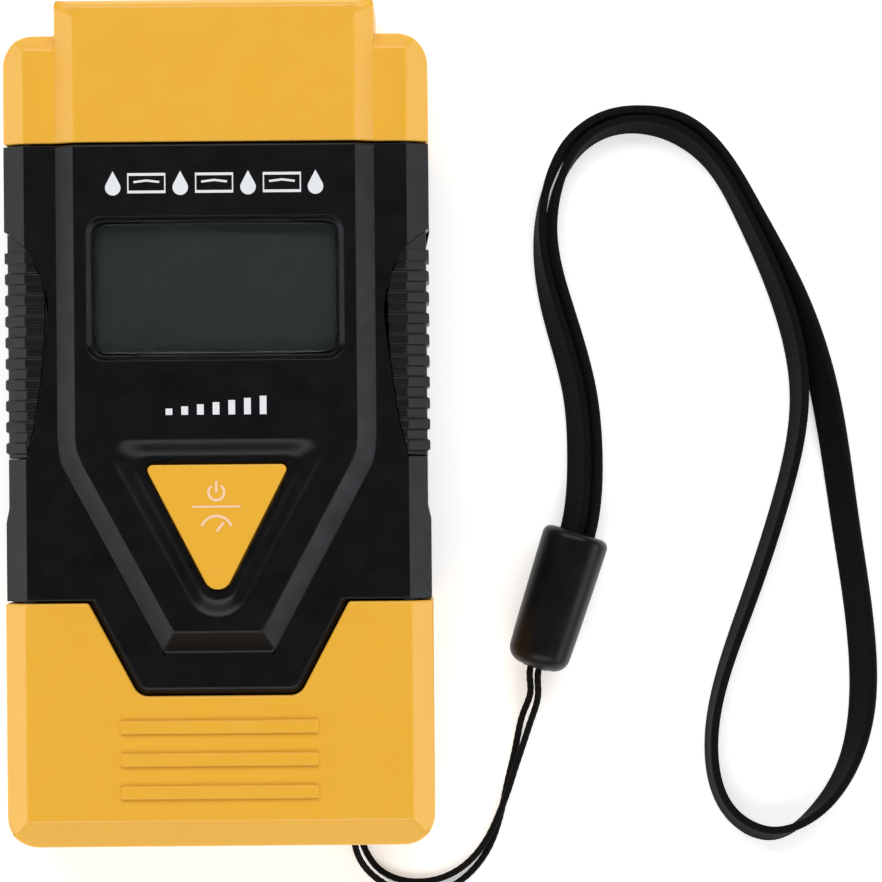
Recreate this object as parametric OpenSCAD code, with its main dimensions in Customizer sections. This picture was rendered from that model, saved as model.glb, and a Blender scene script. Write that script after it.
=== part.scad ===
// Pocket moisture meter for timber and floors: two pins under a pull-off cap, a small
// display, one sprung button, a slide-off battery cover and a wrist strap.
// It lies on its back. +Y points along the pins, +Z out of the display.

/* [Body] */
// Overall length, from the foot of the battery cover to the end of the pin cap
meter_len = 120; // [119:0.5:121]
// Overall width
body_w = 60; // [59.5:0.5:61]
// Height of the lower front face above the back
shoulder_z = 25.2; // [25:0.1:25.6]
// Height of the raised panel above the lower front face
panel_rise = 2.8; // [2.6:0.1:3]
// Bevel along the two front edges
front_chamfer = 3.1; // [2.8:0.1:3.4]
// Bevel along the two back edges
back_chamfer = 3; // [2.6:0.1:3.2]

/* [Display] */
// Width of the clear window
window_w = 33.3; // [33:0.1:33.6]
// Height of the clear window
window_h = 17.9; // [17.8:0.1:18.4]
// Distance from the middle of the body to the middle of the window
window_y = 18.75; // [18.5:0.05:18.8]

/* [Button] */
// How far the button can be pressed
button_travel = 0.5; // [0.3:0.1:0.5]

/* [Pins] */
// Distance between the two measuring pins
pin_pitch = 25; // [24:0.5:26]
// How far each pin stands out of the nose
pin_reach = 9.5; // [8.5:0.1:9.6]
// Diameter of each pin
pin_d = 1.6; // [1.4:0.1:1.8]

/* [Battery] */
// Diameter of one cell
cell_d = 10.5; // [10.1:0.1:10.5]
// Length of one cell, with its button
cell_len = 44.5; // [44:0.1:44.6]

/* [Strap] */
// Width of the wrist webbing
band_w = 5; // [4.4:0.2:5]
// Thickness of the wrist webbing
band_t = 1.2; // [1:0.1:1.2]
// Diameter of the thin cord
cord_d = 1; // [1:0.1:1.2]

/* [Hidden] */
$fn = 48;
hull_fn = 32;
eps = 0.01;

// Colours
yellow = [0.94, 0.69, 0.22];
black = [0.11, 0.11, 0.12];
rubber = [0.15, 0.15, 0.16];
steel = [0.75, 0.76, 0.78];
brass = [0.78, 0.63, 0.32];
board_green = [0.10, 0.36, 0.20];
chip_black = [0.08, 0.08, 0.09];

// Outline
top_z = shoulder_z + panel_rise;
end_y = meter_len / 2;
cap_seam = 39;
cover_seam = -25.1;
seam_gap = 0.3;
core_inset = 2.15;
nose_end = 47;
core_end = -52.5;
split_z = 13;
wall = 1.9;
corner_shift = 2 - sqrt(2);
waist = 0.45;

// Raised panel
panel_half = 19.7;
panel_root = 1;
panel_tip_half = 6.1;
panel_tip_y = -29.5;
panel_tip_r = 0.6;
panel_tip_mitre = 0.6;
panel_bend = [11.7, -2.2];

// Black tongue that reaches down into the battery cover
tongue_top_half = 18.2;
tongue_end_half = 11.2;
tongue_end_y = -38.3;
tongue_r = 2;
tongue_bevel = 0.8;

// Display stack
window_recess = 0.9;
lens_top = top_z - window_recess - 0.1;
lens_flange_z = 25.2;
lcd_top = 25;
lcd_t = 2.8;
frame_foot = 19.6;

// Circuit board
board_z = 18;
board_t = 1.6;
board_top = board_z + board_t;
board_half = 24;
board_end = -28;
board_neck_half = 18.5;
board_neck_y = 27.5;
board_top_y = 34.5;
board_screw_at = [[21.8, 2], [21.8, -25]];

// Button
key_side = [9, -6.75, 0.75];
key_tip = [-21.55, 2];
key_top = 27.3;
key_foot = 24.2;
dish_floor = 26.6;
switch_at = [0, -13];
switch_top = 23.1;
plunger_r = 1.75;

// Screws
case_screw_top = [22.5, 33];
case_screw_low = [22, -46];
case_shank_r = 1.45;
case_screw_tip = 19;
m2_r = 0.95;

// Electrodes
pin_x = pin_pitch / 2;
pin_z = 12.5;
nose_half = 18;
nose_low = 8.3;
nose_high = 16.7;
collar_y = 48.6;

// Battery bay
bay_half = 16.9;
bay_low_y = -50.6;
bay_high_y = -1.6;
bay_top = 13.9;
bay_wall = 1.7;
bay_wall_top = bay_top + 1.3;
cell_pitch = 11;
cell_z = 8;
plate_t = 0.5;
plate_low = 4;
plate_high = 12.6;
spring_len = bay_high_y - bay_low_y - 2 * plate_t - cell_len;

// Back of the battery cover
back_tongue_half = 20;
back_tongue_y = 3;
back_tongue_t = 1.8;
cover_proud = 0.2;
slide_gap = 0.25;

// Grips
rib_count = 10;
rib_pitch = 2.98;
rib_w = 1.5;
rib_top_y = 23.3;
grip_end_y = -5;
grip_low_z = 4;
grip_t = 2.2;

// Strap anchor inside the battery cover
eyelet_y = -57.2;
eyelet_z = 4.2;
eyelet_r = 1.5;
eyelet_x = [15.5, 23.5];

// Ferrule: foot of its axis, its turn from +Y, and its profile
ferrule_at = [44.8, -35.7, 4.9];
ferrule_turn = 18;
ferrule_len = 20.3;
ferrule_top_r = 4.85;
ferrule_foot_r = 4.5;
band_bore_r = 3.5;
band_bore_depth = 4.5;
plug_r = 1.8;
plug_len = 5.5;
plug_proud = 0.15;
cord_hole_depth = 2.5;
strand_offset = 0.62;
cord_hole_gap = 0.06;
layer_offset = 0.82;
mouth_lean = 36;

// Place in the ferrule's own frame: along its axis from the foot, across to the right
function ferrule_point(along, across) = [
    ferrule_at[0] + along * sin(ferrule_turn) + across * cos(ferrule_turn),
    ferrule_at[1] + along * cos(ferrule_turn) - across * sin(ferrule_turn),
    ferrule_at[2]
];
function with_lean(p, lean) = concat(p, [lean]);

// Webbing, out of the ferrule's bore and back into it: x, y, z and sideways lean
band_start = ferrule_len - band_bore_depth;
band_mouth = ferrule_len + 0.3;
band_route = concat(
    [with_lean(ferrule_point(band_start, -layer_offset), -mouth_lean),
     with_lean(ferrule_point(band_mouth, -layer_offset), -mouth_lean)],
    [[51.5, -5.5, 3, -36], [50.9, 3.5, 2.4, -33], [47.5, 16.8, 2.5, -27],
     [46.1, 27, 2.6, -9], [48, 36, 2.6, 4], [50.6, 40.2, 2.6, 10], [55.9, 43.6, 2.6, 16],
     [61.5, 44.1, 2.6, 20], [66.6, 42.8, 2.5, 26], [72.2, 38.2, 2.5, 20],
     [76.8, 30.6, 2.6, 20], [83.2, 17.2, 2.4, 34], [87.1, 4, 2.3, 46], [90, -15, 2.3, 44],
     [92.3, -33.6, 2.3, 43], [92.2, -42, 2.4, 39], [89.9, -50.8, 2.5, 24],
     [85.2, -57.3, 2.6, 8], [78.8, -60.3, 2.6, -17], [73.2, -57.4, 2.6, -14],
     [70.4, -50, 2.6, -10], [71.2, -40.5, 2.6, -10], [75.3, -28, 2.6, -15],
     [80.9, -11.3, 2.6, -18], [83.5, 3.5, 2.6, -22], [81.3, 16.1, 2.6, -26],
     [75.5, 29.8, 2.6, -20], [71.1, 37.2, 2.5, -20], [65.5, 41.6, 2.5, -26],
     [56.2, 42.1, 2.6, -16], [51.6, 39, 2.6, -8], [49.3, 35.1, 2.6, 0],
     [47.7, 27, 2.6, 9], [49.2, 16.8, 2.5, 27], [52.5, 3.5, 2.4, 33],
     [53.1, -5.5, 3, 36]],
    [with_lean(ferrule_point(band_mouth, layer_offset), mouth_lean),
     with_lean(ferrule_point(band_start, layer_offset), mouth_lean)]
);

// Thin cord, out of the plug, round the cover's eyelet bar and back over itself
cord_start = cord_hole_depth - plug_proud;
cord_mouth = -plug_proud - 0.2;
cord_middle = 0.8;
cord_route = concat(
    [ferrule_point(cord_start, -strand_offset), ferrule_point(cord_middle, -strand_offset),
     ferrule_point(cord_mouth, -strand_offset)],
    [[44.1, -39.4, 3.7], [43.1, -42.4, 2.2], [42.3, -45.6, 1.1], [41.6, -49, 0.7],
     [40.8, -52.2, 0.7], [40.1, -55.4, 0.7], [39.3, -58.6, 0.7], [37.9, -62.1, 0.7],
     [35.6, -65.3, 0.7], [32.3, -67.8, 0.7], [28.3, -68.9, 0.7], [24.6, -68.2, 0.9],
     [21.6, -66.4, 1.9], [19.5, -63.9, 4.1], [18.6, -61.4, 6], [18.4, -59.3, 6.7],
     [18.5, -57.2, 6.8], [18.7, -55.4, 6], [18.9, -54.6, 4.2], [19.2, -55.4, 2.4],
     [19.3, -57.2, 1.6], [19.3, -60, 1.4], [20.1, -62.6, 0.9], [21.7, -64.9, 0.7],
     [24.4, -66.5, 0.7], [27.2, -67, 0.7], [30.6, -66.6, 0.7], [33.9, -65, 0.9],
     [36.3, -62.7, 1.5], [38.1, -60, 1.8], [39.4, -57.2, 1.9], [40.6, -54.2, 2],
     [41.8, -50.6, 2], [43.1, -46.8, 2], [44.3, -43.2, 2.7], [45.2, -39.8, 3.9]],
    [ferrule_point(cord_mouth, strand_offset), ferrule_point(cord_middle, strand_offset),
     ferrule_point(cord_start, strand_offset)]
);

// Lead from the last contact's tail, over the bay, to the underside of the board
lead_r = 0.6;
lead_route = [
    [11, -49.9, 16.2], [11, -49.9, 17], [11, -48.8, 18.2],
    [11, -44, 18.4], [11, -34, 18], [11, -29.5, 17], [11, -27.4, 16.6],
    [11, -26.6, 17.2], [11, -26.6, board_z]
];

// Curve through points, and directions along it
function catmull(p0, p1, p2, p3, t) = 0.5 * (
    2 * p1 + (p2 - p0) * t + (2 * p0 - 5 * p1 + 4 * p2 - p3) * t * t
    + (3 * p1 - p0 - 3 * p2 + p3) * t * t * t
);
function spline(points, steps) = let (last = len(points) - 1) [
    for (i = [0:last - 1], k = [0:steps - 1]) catmull(
        points[max(i - 1, 0)], points[i], points[i + 1], points[min(i + 2, last)], k / steps
    ),
    points[last]
];
function place(p) = [p[0], p[1], p[2]];
function unit(v) = v / norm(v);
function directions(path, route) = let (last = len(path) - 1, end = len(route) - 1) [
    unit(place(route[1]) - place(route[0])),
    for (i = [1:last - 1]) unit(place(path[i + 1]) - place(path[i - 1])),
    unit(place(route[end]) - place(route[end - 1]))
];
function carried(ways, side, i = 0) = i == len(ways) ? [] :
    let (next = unit(side - (side * ways[i]) * ways[i]))
    concat([next], carried(ways, next, i + 1));

// Rings of a round cord, and of flat webbing that leans
function round_rings(route, r, sides, steps) = let (
    path = spline(route, steps),
    ways = directions(path, route),
    sideways = carried(ways, abs(ways[0][2]) > 0.9 ? [1, 0, 0] : [0, 0, 1])
) [
    for (i = [0:len(path) - 1]) [
        for (s = [0:sides - 1]) path[i]
            + r * cos(s * 360 / sides) * sideways[i]
            + r * sin(s * 360 / sides) * cross(ways[i], sideways[i])
    ]
];
function band_section(w, t) = [
    [t / 2, t / 4 - w / 2], [t / 2, w / 2 - t / 4], [t / 4, w / 2], [-t / 4, w / 2],
    [-t / 2, w / 2 - t / 4], [-t / 2, t / 4 - w / 2], [-t / 4, -w / 2], [t / 4, -w / 2]
];
function band_rings(route, w, t, steps) = let (
    path = spline(route, steps),
    ways = directions(path, route)
) [
    for (i = [0:len(path) - 1]) let (
        left = unit(cross([0, 0, 1], ways[i])),
        up = cross(ways[i], left),
        lean = path[i][3],
        across = up * cos(lean) + left * sin(lean),
        through = left * cos(lean) - up * sin(lean)
    ) [for (corner = band_section(w, t)) place(path[i]) + corner[0] * through + corner[1] * across]
];

// Closed tube through rings that all have the same number of points
module tube(rings) {
    sides = len(rings[0]);
    last = (len(rings) - 1) * sides;
    polyhedron(
        points = [for (ring = rings) each ring],
        faces = concat(
            [for (r = [0:len(rings) - 2], s = [0:sides - 1]) let (
                a = r * sides + s,
                b = r * sides + (s + 1) % sides
            ) each [[a, a + sides, b], [b, a + sides, b + sides]]],
            [for (s = [1:sides - 2]) [0, s, s + 1]],
            [for (s = [1:sides - 2]) [last, last + s + 1, last + s]]
        )
    );
}

// Drawings swept along one axis
module along_y(y0, y1) {
    translate([0, y1, 0]) rotate([90, 0, 0]) linear_extrude(y1 - y0) children();
}

module along_x(x0, x1) {
    translate([x0, 0, 0]) rotate([90, 0, 90]) linear_extrude(x1 - x0) children();
}

// Upright prism between two heights
module between(z0, z1) {
    translate([0, 0, z0]) linear_extrude(z1 - z0) children();
}

// Solid that slopes from its foot outline, the first child, to its top outline
module slope(z0, z1) {
    hull() {
        between(z0, z0 + eps) children(0);
        between(z1 - eps, z1) children(1);
    }
}

module box(from, to) {
    translate(from) cube(to - from);
}

module both_sides() {
    children();
    mirror([1, 0, 0]) children();
}

module rounded(w, h, r) {
    offset(r) square([w - 2 * r, h - 2 * r], center = true);
}

// Cross-section of the body, bevelled at its four long edges, moved in by inset and widened by proud
module section(inset = 0, proud = 0) {
    side = body_w / 2 + proud - inset;
    high = shoulder_z - inset;
    front = front_chamfer - inset * corner_shift;
    back = back_chamfer - inset * corner_shift;
    polygon([
        [side - back, inset], [side, inset + back], [side, high - front], [side - front, high],
        [front - side, high], [-side, high - front], [-side, inset + back], [back - side, inset]
    ]);
}

// Outline of the waisted middle of the body, seen from the front
module waist_plan() {
    half = body_w / 2;
    right = [
        [half + 0.1, cover_seam - 1], [half + 0.1, -14.5], [half - waist, -12],
        [half - waist, 25], [half + 0.1, 27.5], [half + 0.1, cap_seam + 1]
    ];
    polygon(concat(right, [for (i = [len(right) - 1:-1:0]) [-right[i][0], right[i][1]]]));
}

// Outer form of the two shells together, without the raised panel
module case_form() {
    along_y(core_end, nose_end) section(core_inset);
    intersection() {
        along_y(cover_seam, cap_seam) section();
        between(-1, top_z) waist_plan();
    }
}

module case_cavity() {
    // Round the board and the display
    along_y(-23.2, 37) polygon([
        [26.2, 3.9], [26.2, 18], [22.5, 21.7], [22.5, 23.2],
        [-22.5, 23.2], [-22.5, 21.7], [-26.2, 18], [-26.2, 3.9]
    ]);
    // Deeper where no battery cover lies behind
    box([-26.2, 5.5, 2], [26.2, 37, 4]);
    // Nose, then the part inside the battery cover
    box([-25.9, 36.9, 4], [25.9, 45, 21.2]);
    box([-25.9, bay_low_y, 4], [25.9, -23.1, 21.2]);
}

// Plan of one side grip, on the right
module grip_plan(grow) {
    intersection() {
        translate([35.3, 17]) circle(11.3 + grow, $fn = 96);
        translate([20, 17]) square([12, 14]);
    }
    intersection() {
        translate([113.3, 17]) circle(89.3 + grow, $fn = 360);
        translate([20, grip_end_y - grow]) square([12, 17.1 - grip_end_y + grow]);
    }
}

module grip_pocket() {
    difference() {
        between(grip_low_z - 0.05, top_z) grip_plan(0.05);
        along_y(-20, 40) section(grip_t + 0.05);
    }
}

module right_grip_form() {
    intersection() {
        between(grip_low_z, shoulder_z) grip_plan(0);
        difference() {
            union() {
                along_y(-10, 30) section(waist);
                for (i = [0:rib_count - 1]) {
                    rib_y = rib_top_y - i * rib_pitch;
                    along_y(rib_y - rib_w / 2, rib_y + rib_w / 2) section(0.05);
                }
            }
            along_y(-20, 40) section(grip_t);
        }
    }
}

module panel_outline(grow) {
    for (side = [-1, 1]) {
        translate([side * panel_bend[0], panel_bend[1]]) circle(8 + grow, $fn = hull_fn);
        translate([
            side * (panel_tip_half + panel_tip_mitre * (grow - panel_tip_r)),
            panel_tip_y - grow + panel_tip_r
        ]) circle(panel_tip_r, $fn = hull_fn);
    }
    translate([-panel_half - grow, panel_bend[1]])
        square([2 * (panel_half + grow), cap_seam - panel_bend[1]]);
}

module tongue_outline(grow) {
    offset(tongue_r + grow) offset(-tongue_r) polygon([
        [tongue_top_half + 2.12, cover_seam + 4], [tongue_end_half, tongue_end_y],
        [-tongue_end_half, tongue_end_y], [-tongue_top_half - 2.12, cover_seam + 4]
    ]);
}

// Corners of a triangle that points down, for a hull: side is x, y and radius, tip is y and radius
module triangle(side, tip) {
    for (s = [-1, 1]) translate([s * side[0], side[1]]) circle(side[2], $fn = hull_fn);
    translate([0, tip[0]]) circle(tip[1], $fn = hull_fn);
}

module key_outline(grow) {
    triangle([key_side[0], key_side[1], key_side[2] + grow], [key_tip[0], key_tip[1] + grow]);
}

module nose_opening() {
    box([-nose_half, 44, nose_low], [nose_half, nose_end + 1, nose_high]);
}

module front_shell() {
    color(black) difference() {
        union() {
            difference() {
                union() {
                    intersection() {
                        case_form();
                        box([-40, -70, split_z], [40, 70, shoulder_z]);
                    }
                    slope(shoulder_z - panel_root, top_z) {
                        panel_outline(panel_rise + panel_root);
                        panel_outline(0);
                    }
                    // Tongue, bevelled where it meets the cover
                    between(22, shoulder_z - tongue_bevel) tongue_outline(0);
                    slope(shoulder_z - tongue_bevel, shoulder_z) {
                        tongue_outline(0);
                        tongue_outline(-tongue_bevel);
                    }
                }
                case_cavity();
                box([-19.9, 5, 23], [19.9, 32.6, 26]);
                between(21, 25) offset(2.6) polygon([[10.6, -6], [-10.6, -6], [0, -23.6]]);
                // Notch in the end wall for the battery bay's own end wall
                box([-bay_half - bay_wall - 0.1, core_end - 1, split_z - 1],
                    [bay_half + bay_wall + 0.1, bay_low_y + 0.1, bay_wall_top + 0.1]);
            }
            // Bosses for the case screws and the board screws
            both_sides() {
                translate([case_screw_top[0], case_screw_top[1], split_z]) cylinder(r = 2.9, h = 9.5);
                translate([case_screw_low[0], case_screw_low[1], split_z]) cylinder(r = 2.9, h = 9);
                for (at = board_screw_at) translate([at[0], at[1], board_top]) cylinder(r = 2, h = 2.6);
            }
        }
        // Soft-edged recess and opening of the window
        translate([0, window_y]) {
            slope(top_z - window_recess, top_z + eps) {
                rounded(window_w + 1.2, window_h + 1.2, 1.6);
                rounded(window_w + 3.4, window_h + 2.5, 2.7);
            }
            between(25.5, top_z) rounded(window_w + 0.4, window_h + 0.4, 1.2);
        }
        // Dish round the button, and the button's opening
        slope(dish_floor, top_z + eps) {
            triangle([9.9, -6.2, 1.9], [-22.3, 3.2]);
            triangle([12.9, -4.5, 2.3], [-23, 4.6]);
        }
        between(24.5, top_z) hull() key_outline(0.25);
        nose_opening();
        both_sides() {
            grip_pocket();
            translate([case_screw_top[0], case_screw_top[1], split_z - 1])
                cylinder(r = case_shank_r, h = 7.2);
            translate([case_screw_low[0], case_screw_low[1], split_z - 1])
                cylinder(r = case_shank_r, h = 7.2);
            for (at = board_screw_at) translate([at[0], at[1], board_top - 1]) cylinder(r = m2_r, h = 3.3);
        }
    }
}

// Counterbore, clearance hole and head seat of one case screw
module case_screw_hole(head_z) {
    translate([0, 0, -1]) cylinder(r = 2.9, h = head_z + 1);
    cylinder(r = 1.6, h = split_z + 1);
}

module rear_shell() {
    color(black) {
        difference() {
            union() {
                difference() {
                    intersection() {
                        case_form();
                        box([-40, -70, 0], [40, 70, split_z]);
                    }
                    case_cavity();
                }
                box([-bay_half - bay_wall, core_end, core_inset], [bay_half + bay_wall, 0, bay_wall_top]);
                both_sides() {
                    translate([case_screw_top[0], case_screw_top[1], 1]) cylinder(r = 3.2, h = split_z - 1);
                    translate([case_screw_low[0], case_screw_low[1], 3]) cylinder(r = 3.2, h = split_z - 3);
                    // Rib behind the flange of the electrode block
                    box([18.6, 41.4, 3.5], [21, 42.7, split_z]);
                }
            }
            // Battery bay, open at the back, and the bed of the cover's tongue
            box([-bay_half, bay_low_y, 0], [bay_half, bay_high_y, bay_top]);
            box([-back_tongue_half - slide_gap, -40, -1],
                [back_tongue_half + slide_gap, back_tongue_y + slide_gap, core_inset]);
            // Slots for the tails of the end contacts
            box([-12.2, bay_high_y - 0.7, 13], [-9.8, bay_high_y, 16]);
            box([9.8, bay_low_y, 13], [12.2, bay_low_y + 0.7, 16]);
            nose_opening();
            // Bed of the rear label
            translate([0, 18]) between(-1, 0.35) rounded(32.4, 20.4, 1.2);
            both_sides() {
                grip_pocket();
                translate([case_screw_top[0], case_screw_top[1]]) case_screw_hole(3);
                translate([case_screw_low[0], case_screw_low[1]]) case_screw_hole(4.6);
            }
        }
        // Ribs between the cells
        both_sides() box([4.7, -40, 11.2], [6.3, -12, bay_top + eps]);
    }
}

module left_grip() {
    color(rubber) mirror([1, 0, 0]) right_grip_form();
}

module right_grip() {
    color(rubber) right_grip_form();
}

module window_lens() {
    color([0.30, 0.33, 0.31]) translate([0, window_y]) {
        between(lens_flange_z, 26) rounded(37, 21.5, 1.5);
        between(26 - eps, lens_top) rounded(window_w + 0.1, window_h + 0.1, 1.05);
    }
}

module lcd_panel() {
    color([0.34, 0.38, 0.34]) box([-18, window_y - 11, lcd_top - lcd_t], [18, window_y + 11, lcd_top]);
}

module lcd_frame() {
    color([0.85, 0.85, 0.82]) difference() {
        box([-19.6, window_y - 13.45, frame_foot], [19.6, window_y + 13.45, 25.1]);
        box([-18.2, window_y - 11.2, 22.1], [18.2, window_y + 11.2, 26]);
        box([-17, window_y - 9.8, 19], [17, window_y + 7.5, 23]);
        box([-16.1, window_y + 8.95, 19], [16.1, window_y + 10.95, 23]);
    }
}

module zebra_strip() {
    color([0.80, 0.45, 0.50])
        box([-16, window_y + 9.05, frame_foot], [16, window_y + 10.85, lcd_top - lcd_t]);
}

module main_board() {
    color(board_green) difference() {
        union() {
            box([-board_half, board_end, board_z], [board_half, board_neck_y, board_top]);
            box([-board_neck_half, board_neck_y - 1, board_z], [board_neck_half, board_top_y, board_top]);
        }
        both_sides() for (at = board_screw_at) {
            translate([at[0], at[1], board_z - 1]) cylinder(r = 1.15, h = board_t + 2);
        }
    }
}

// Flat chip with leads on its four sides
module mcu_chip() {
    color(chip_black) translate([0, 10, board_z - 1.5]) {
        box([-5, -5, 0], [5, 5, 1.4]);
        for (turn = [0:90:270], i = [-3:3]) {
            rotate(turn) box([5 - eps, i * 1.2 - 0.25, 1.2], [6.2, i * 1.2 + 0.25, 1.5]);
        }
    }
}

// Small parts on the board: x, y, width, length, height
module board_parts() {
    under = [
        [-14, 20, 2, 1.2, 0.8], [-10.5, 20, 2, 1.2, 0.8], [-14, 17, 2, 1.2, 0.8],
        [-14, 6, 1.2, 2, 0.8], [-11, 3, 3.2, 1.6, 1.1], [12, 18, 4.9, 3.9, 1.6],
        [12, 8, 2, 1.2, 0.8], [15.5, 8, 2, 1.2, 0.8], [12, 5, 2, 1.2, 0.8],
        [16, 26, 4, 4, 1.8], [-6, 27, 2, 1.2, 0.8], [6, 27, 2, 1.2, 0.8], [20, 16, 3.8, 8, 2]
    ];
    color([0.55, 0.48, 0.36]) for (p = under) {
        box([p[0] - p[2] / 2, p[1] - p[3] / 2, board_z - p[4]],
            [p[0] + p[2] / 2, p[1] + p[3] / 2, board_z]);
    }
    color(steel) {
        translate([-20.5, 12, board_z - 2.2]) cylinder(r = 2, h = 2.2);
        translate([-20.5, 19, board_z - 2.6]) cylinder(r = 2.4, h = 2.6);
    }
}

// Pan-head screw that points up, its head's underside at z = 0
module screw(head_r, head_h, shank_r, length) {
    difference() {
        translate([0, 0, -head_h]) cylinder(r = head_r, h = head_h);
        for (turn = [0, 90]) rotate(turn) {
            box([-head_r * 0.6, -head_r * 0.12, -head_h - 1], [head_r * 0.6, head_r * 0.12, -head_h * 0.45]);
        }
    }
    cylinder(r = shank_r, h = length);
}

module board_screws() {
    color(steel) both_sides() for (at = board_screw_at) {
        translate([at[0], at[1], board_z]) screw(1.9, 1.2, m2_r, 3.8);
    }
}

module case_screws() {
    color(steel) both_sides() {
        translate([case_screw_top[0], case_screw_top[1], 3])
            screw(2.6, 1.9, case_shank_r, case_screw_tip - 3);
        translate([case_screw_low[0], case_screw_low[1], 4.6])
            screw(2.6, 1.9, case_shank_r, case_screw_tip - 4.6);
    }
}

module tact_switch() {
    color([0.16, 0.16, 0.17]) translate([switch_at[0], switch_at[1]]) {
        difference() {
            box([-3, -3, board_top], [3, 3, switch_top]);
            translate([0, 0, board_top + 1]) cylinder(r = plunger_r + 0.1, h = 4);
        }
        both_sides() for (y = [-2.3, 2.3])
            box([3 - eps, y - 0.4, board_top], [3.9, y + 0.4, board_top + 0.4]);
    }
}

module switch_plunger() {
    color(yellow) translate([switch_at[0], switch_at[1], board_top + 1.2 + button_travel]) {
        cylinder(r = plunger_r, h = key_foot - 0.3 - board_top - 1.2 - button_travel);
    }
}

// Key with its flange under the shell and its stem on the switch
module power_button() {
    color(yellow) {
        between(key_foot, key_top) hull() key_outline(0);
        between(key_foot, key_foot + 0.6) hull() key_outline(1.3);
        translate([switch_at[0], switch_at[1], key_foot - 0.3]) cylinder(r = 2, h = 0.6);
    }
}

module electrode_block() {
    color([0.20, 0.20, 0.21]) difference() {
        union() {
            box([-17.9, 38, 8.4], [17.9, nose_end, 16.6]);
            box([-20, 42.9, 6.5], [20, 44.9, 18.5]);
        }
        both_sides() along_y(37, 48) translate([pin_x, pin_z]) circle(2.2);
    }
}

// Threaded socket with a hexagonal collar, open at its front
module socket_form() {
    difference() {
        union() {
            along_y(36, nose_end + eps) translate([pin_x, pin_z]) circle(2.2);
            along_y(nose_end, collar_y) translate([pin_x, pin_z]) circle(3, $fn = 6);
        }
        along_y(41, 50) translate([pin_x, pin_z]) circle(1.25);
    }
}

module left_socket() {
    color(brass) mirror([1, 0, 0]) socket_form();
}

module right_socket() {
    color(brass) socket_form();
}

// Screwed shank, shoulder, needle and point, turned about one axis
module pin_form() {
    tip = nose_end + pin_reach;
    translate([pin_x, 0, pin_z]) rotate([-90, 0, 0]) rotate_extrude() polygon([
        [0, 41], [1.25, 41], [1.25, collar_y], [1.7, collar_y], [1.7, collar_y + 0.8],
        [1.4, collar_y + 1.1], [pin_d / 2, collar_y + 1.1], [pin_d / 2, tip - 2.2],
        [0.12, tip], [0, tip]
    ]);
}

module left_pin() {
    color(steel) mirror([1, 0, 0]) pin_form();
}

module right_pin() {
    color(steel) pin_form();
}

// Spring strips from the back of each socket to the underside of the board
module electrode_strips() {
    color(brass) both_sides() {
        box([pin_x - 1.5, 35.6, 10.8], [pin_x + 1.5, 36, board_z]);
        box([pin_x - 1.5, 33, board_z - 0.4], [pin_x + 1.5, 35.7, board_z]);
    }
}

// Cell with its button towards the pins when up is 1, towards the foot when it is -1
module cell(x, up) {
    negative_y = up > 0 ? bay_low_y + plate_t + spring_len : bay_high_y - plate_t - spring_len;
    color([0.20, 0.42, 0.62]) translate([x, negative_y, cell_z]) rotate([-90 * up, 0, 0]) {
        cylinder(r = cell_d / 2, h = cell_len - 1.2);
        cylinder(r = 1.9, h = cell_len);
    }
}

module cell_1() {
    cell(-cell_pitch, 1);
}

module cell_2() {
    cell(0, -1);
}

module cell_3() {
    cell(cell_pitch, 1);
}

// Tapered coil spring from the contact at y0 to the cell at y1
module coil_spring(x, y0, y1) {
    wire_r = 0.3;
    turns = 3;
    per_turn = 16;
    toward = sign(y1 - y0);
    route = [
        for (i = [0:turns * per_turn]) let (
            share = i / (turns * per_turn),
            r = 3.6 - 1.6 * share,
            angle = i * 360 / per_turn
        ) [
            x + r * cos(angle),
            y0 + toward * (wire_r + (spring_len - 2 * wire_r) * share),
            cell_z + r * sin(angle)
        ]
    ];
    tube(round_rings(route, wire_r, 6, 1));
}

module battery_springs() {
    color(steel) {
        coil_spring(-cell_pitch, bay_low_y + plate_t, 0);
        coil_spring(0, bay_high_y - plate_t, -60);
        coil_spring(cell_pitch, bay_low_y + plate_t, 0);
    }
}

// Contact plate in the bay, its inner face away from the bay's end wall
module contact_plate(x0, x1, y0) {
    box([x0, y0, plate_low], [x1, y0 + plate_t, plate_high]);
}

module contact_top_single() {
    color(steel) {
        contact_plate(-15.2, -6.8, bay_high_y - plate_t);
        box([-12, bay_high_y - plate_t, plate_high - eps], [-10, bay_high_y, board_z]);
    }
}

module contact_top_bridge() {
    color(steel) contact_plate(-4.2, 15.2, bay_high_y - plate_t);
}

module contact_bottom_bridge() {
    color(steel) contact_plate(-15.2, 4.2, bay_low_y);
}

module contact_bottom_single() {
    color(steel) {
        contact_plate(6.8, 15.2, bay_low_y);
        box([10, bay_low_y, plate_high - eps], [12, bay_low_y + plate_t, 16.2]);
        box([10, bay_low_y, 15.8], [12, -49.2, 16.2]);
    }
}

module battery_lead() {
    color(black) tube(round_rings(lead_route, lead_r, 8, 3));
}

module rear_label() {
    color([0.72, 0.73, 0.72]) translate([0, 18]) between(0.1, 0.35) rounded(32, 20, 1);
}

// Plan with two rounded corners at its outer end
module end_plan(half, y_open, y_end, r) {
    toward = sign(y_end - y_open);
    hull() {
        for (side = [-1, 1]) translate([side * (half - r), y_end - toward * r]) circle(r);
        translate([-half, min(y_open, y_open + toward)]) square([2 * half, 1]);
    }
}

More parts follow.
